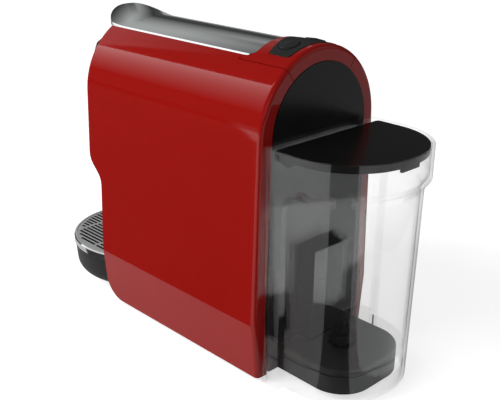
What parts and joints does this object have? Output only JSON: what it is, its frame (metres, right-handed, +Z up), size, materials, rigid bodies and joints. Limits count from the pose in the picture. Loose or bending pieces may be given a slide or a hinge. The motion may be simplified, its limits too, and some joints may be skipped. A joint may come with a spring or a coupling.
{
  "type": "capsule espresso machine",
  "caption": "Narrow arched capsule espresso machine with a rear lift-off water tank, a long top lever, press keys and a round slide-out drip tray.",
  "frame": {"origin": "middle of the footprint on the table", "axes": "+Z up, +Y to the rear where the tank stands, -Y to the drip tray, +X to the right panel"},
  "size_m": [0.124, 0.3432, 0.2379],
  "materials": {
    "red_gloss_plastic": "high gloss moulded",
    "black_gloss_plastic": "gloss moulded",
    "dark_grey_plastic": "fine matte moulded",
    "grey_satin_plastic": "satin painted",
    "bright_chrome": "polished plated",
    "brushed_steel": "satin sheet",
    "clear_plastic": "clear moulded",
    "black_moulded_plastic": "moulded",
    "white_moulded_plastic": "moulded",
    "cast_aluminium": "die cast",
    "black_rubber": "moulded",
    "silicone_hose": "extruded",
    "green_board": "etched laminate"
  },
  "bodies": {
    "machine": {"board_components": "black_moulded_plastic", "brew_head_cover": "black_gloss_plastic", "brew_hose": "silicone_hose", "button_board": "green_board", "button_pad": "dark_grey_plastic", "button_switches": "black_moulded_plastic", "capsule_chamber": "black_moulded_plastic", "capsule_chute": "black_moulded_plastic", "chassis": "black_moulded_plastic", "chassis_screws": "brushed_steel", "coffee_spout": "bright_chrome", "coffee_trough": "black_moulded_plastic", "control_board": "green_board", "cord_gland": "black_rubber", "dock_seal": "black_rubber", "feet": "black_rubber", "flow_meter_body": "white_moulded_plastic", "flow_meter_cap": "white_moulded_plastic", "front_panel": "black_gloss_plastic", "injector_head": "brushed_steel", "inlet_hose": "silicone_hose", "inner_frame": "black_moulded_plastic", "left_brew_cheek": "black_moulded_plastic", "left_side_panel": "red_gloss_plastic", "lever_hinge_pin": "brushed_steel", "pressure_hose": "silicone_hose", "pump": "white_moulded_plastic", "pump_coil": "black_moulded_plastic", "pump_mounts": "black_rubber", "rear_plate": "black_gloss_plastic", "rear_top_cover": "red_gloss_plastic", "right_brew_cheek": "black_moulded_plastic", "right_side_panel": "red_gloss_plastic", "suction_hose": "silicone_hose", "tank_dock": "dark_grey_plastic", "thermoblock": "cast_aluminium", "thermostats": "brushed_steel"},
    "lever": {"lever_plate": "grey_satin_plastic", "lever_trim": "bright_chrome", "lever_frame": "cast_aluminium"},
    "brew_carriage": {"brew_carriage": "black_moulded_plastic", "brew_seal": "black_rubber"},
    "short_cup_button": {"short_cup_button": "dark_grey_plastic"},
    "long_cup_button": {"long_cup_button": "dark_grey_plastic"},
    "flow_rotor": {"flow_meter_rotor": "white_moulded_plastic"},
    "tray": {"drip_tray": "dark_grey_plastic", "drip_tray_ring": "bright_chrome", "capsule_bin": "black_gloss_plastic"},
    "grid": {"drip_grid": "brushed_steel"},
    "tank": {"water_tank": "clear_plastic", "tank_valve_body": "black_moulded_plastic"},
    "tank_lid": {"tank_lid": "black_gloss_plastic"},
    "valve_poppet": {"tank_valve_poppet": "black_moulded_plastic"}
  },
  "joints": [
    {"name": "lever_hinge", "type": "hinge", "parent": "machine", "child": "lever", "pos_m": [0, 0.032, 0.216], "axis": [-1, 0, 0], "range_deg": [0, 75]},
    {"name": "carriage_slide", "type": "slide", "parent": "machine", "child": "brew_carriage", "axis": [0, -1, 0], "range_m": [0, 0.0293]},
    {"name": "tray_slide", "type": "slide", "parent": "machine", "child": "tray", "axis": [0, -1, 0], "range_m": [0, 0.1]},
    {"name": "grid_lift", "type": "slide", "parent": "tray", "child": "grid", "axis": [0, 0, 1], "range_m": [0, 0.03]},
    {"name": "tank_lift", "type": "slide", "parent": "machine", "child": "tank", "axis": [0, 0, 1], "range_m": [0, 0.06]},
    {"name": "lid_hinge", "type": "hinge", "parent": "tank", "child": "tank_lid", "pos_m": [0, 0.103, 0.1713], "axis": [1, 0, 0], "range_deg": [0, 90]},
    {"name": "poppet_slide", "type": "slide", "parent": "tank", "child": "valve_poppet", "axis": [0, 0, 1], "range_m": [0, 0.003], "stiffness_N_per_m": 200, "springref_m": -0.001},
    {"name": "short_cup_button_press", "type": "slide", "parent": "machine", "child": "short_cup_button", "axis": [-0.225, 0, -0.9744], "range_m": [0, 0.0012], "stiffness_N_per_m": 400, "springref_m": -0.001},
    {"name": "long_cup_button_press", "type": "slide", "parent": "machine", "child": "long_cup_button", "axis": [0.225, 0, -0.9744], "range_m": [0, 0.0012], "stiffness_N_per_m": 400, "springref_m": -0.001},
    {"name": "rotor_spin", "type": "hinge", "parent": "machine", "child": "flow_rotor", "pos_m": [0.028, 0.016, 0.02], "axis": [0, 0, 1], "continuous": true}
  ],
  "couplings": [
    {"joint": "carriage_slide", "follows": "lever_hinge", "m_per_rad": 0.022307}
  ]
}
